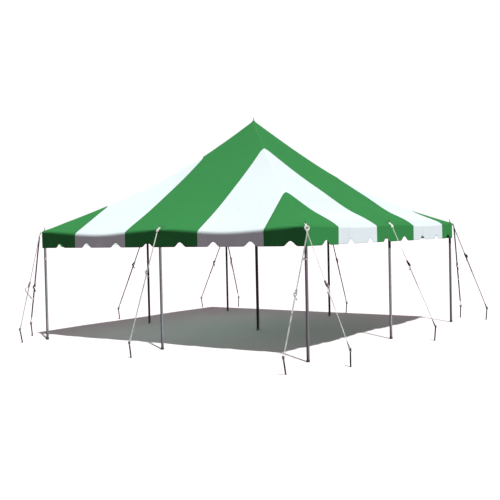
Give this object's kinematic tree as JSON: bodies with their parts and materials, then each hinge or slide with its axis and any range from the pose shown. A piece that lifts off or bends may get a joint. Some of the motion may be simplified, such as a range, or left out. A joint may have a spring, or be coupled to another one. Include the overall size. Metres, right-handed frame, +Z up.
{
  "type": "marquee tent",
  "caption": "Square pole tent with a peaked, striped vinyl canopy, scalloped valances, steel poles and guy straps staked out all round, open on every side",
  "frame": {"origin": "on the ground at the middle of the centre pole's foot", "axes": "+Z up; the front side, the one on the picture's left, faces -Y and the right side faces +X; metres"},
  "size_m": [8.3949, 8.5132, 4.461],
  "materials": {
    "pole_steel": "dull galvanised",
    "green_vinyl": "satin coated cloth",
    "white_vinyl": "satin coated cloth",
    "webbing": "woven strap",
    "stake_steel": "dark, worn"
  },
  "bodies": {
    "root": {"centre_pole": "pole_steel", "side_pole_front": "pole_steel", "side_pole_right": "pole_steel", "side_pole_back": "pole_steel", "side_pole_left": "pole_steel", "corner_pole_front_right": "pole_steel", "corner_pole_back_right": "pole_steel", "corner_pole_back_left": "pole_steel", "corner_pole_front_left": "pole_steel", "centre_panel_front": "green_vinyl", "centre_panel_right": "green_vinyl", "centre_panel_back": "green_vinyl", "centre_panel_left": "green_vinyl", "hip_panel_front_right": "white_vinyl", "hip_panel_back_right": "white_vinyl", "hip_panel_back_left": "white_vinyl", "hip_panel_front_left": "white_vinyl", "corner_panel_front_right": "green_vinyl", "corner_panel_back_right": "green_vinyl", "corner_panel_back_left": "green_vinyl", "corner_panel_front_left": "green_vinyl", "valance_front": "white_vinyl", "valance_right": "white_vinyl", "valance_back": "white_vinyl", "valance_left": "white_vinyl", "guys_front_right": "webbing", "guys_back_right": "webbing", "guys_back_left": "webbing", "guys_front_left": "webbing", "guy_front": "webbing", "guy_right": "webbing", "guy_back": "webbing", "guy_left": "webbing", "stake_front": "stake_steel", "stake_right": "stake_steel", "stake_back": "stake_steel", "stake_left": "stake_steel", "stake_front_right_front": "stake_steel", "stake_front_right_right": "stake_steel", "stake_back_right_back": "stake_steel", "stake_back_right_right": "stake_steel", "stake_back_left_back": "stake_steel", "stake_back_left_left": "stake_steel", "stake_front_left_front": "stake_steel", "stake_front_left_left": "stake_steel"}
  },
  "joints": []
}
